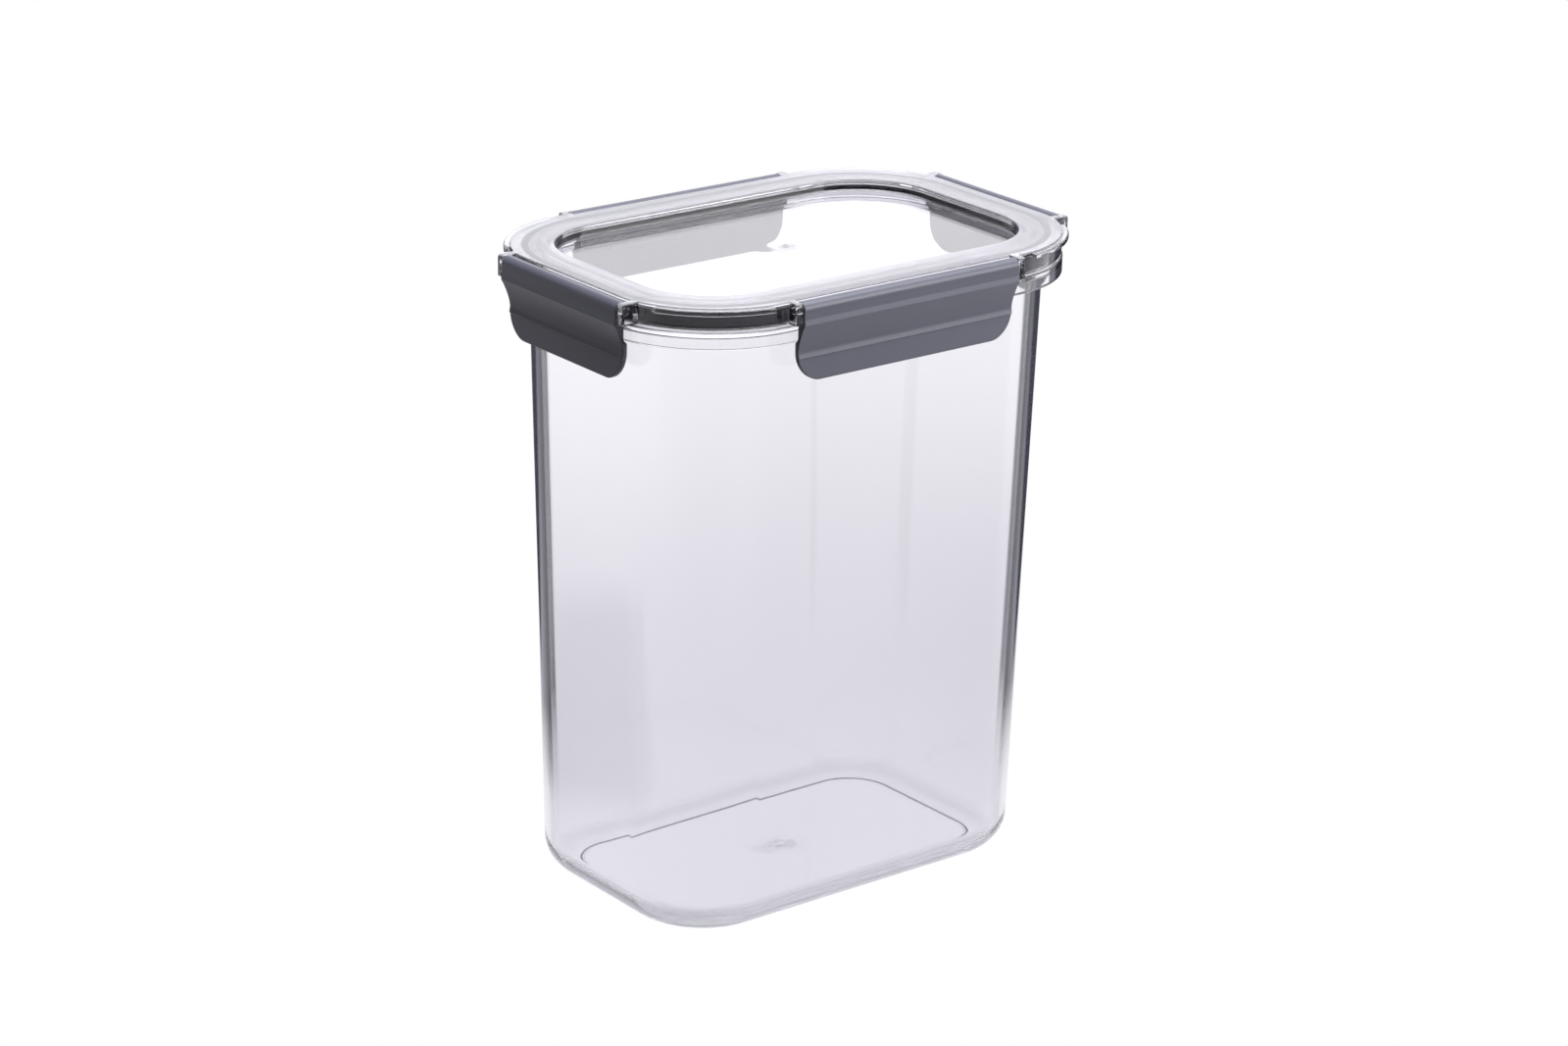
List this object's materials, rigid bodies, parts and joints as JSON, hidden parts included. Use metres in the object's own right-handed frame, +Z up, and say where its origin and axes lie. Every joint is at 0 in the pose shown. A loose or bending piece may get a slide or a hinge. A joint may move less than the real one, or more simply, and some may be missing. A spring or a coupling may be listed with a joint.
{
  "type": "lidded storage canister",
  "caption": "Tall clear plastic food canister with rounded corners, tapered walls and a clear recessed lid, sealed by a gasket and held down by hinged side latches.",
  "frame": {"origin": "centre of the base on the surface that it stands on", "axes": "+Z up through the lid, X along the long side, front faces -Y"},
  "size_m": [0.1896, 0.1336, 0.225],
  "materials": {
    "container_clear": "clear polished rigid plastic, slightly lavender-grey tint",
    "lid_clear": "clear polished rigid plastic",
    "gasket_silicone": "dark grey silicone, satin",
    "latch_grey": "mid grey moulded plastic, satin"
  },
  "bodies": {
    "container": {"container": "container_clear"},
    "lid": {"lid": "lid_clear", "gasket": "gasket_silicone"},
    "latch_front": {"latch_front": "latch_grey"},
    "latch_back": {"latch_back": "latch_grey"},
    "latch_left": {"latch_left": "latch_grey"},
    "latch_right": {"latch_right": "latch_grey"}
  },
  "joints": [
    {"name": "lid_lift", "type": "slide", "parent": "container", "child": "lid", "axis": [0, 0, 1], "range_m": [0, 0.2]},
    {"name": "latch_front_hinge", "type": "hinge", "parent": "lid", "child": "latch_front", "pos_m": [0, -0.06387, 0.2223], "axis": [-1, 0, 0], "range_deg": [0, 120]},
    {"name": "latch_back_hinge", "type": "hinge", "parent": "lid", "child": "latch_back", "pos_m": [0, 0.06387, 0.2223], "axis": [1, 0, 0], "range_deg": [0, 120]},
    {"name": "latch_left_hinge", "type": "hinge", "parent": "lid", "child": "latch_left", "pos_m": [-0.09187, 0, 0.2223], "axis": [0, 1, 0], "range_deg": [0, 120]},
    {"name": "latch_right_hinge", "type": "hinge", "parent": "lid", "child": "latch_right", "pos_m": [0.09187, 0, 0.2223], "axis": [0, -1, 0], "range_deg": [0, 120]}
  ]
}
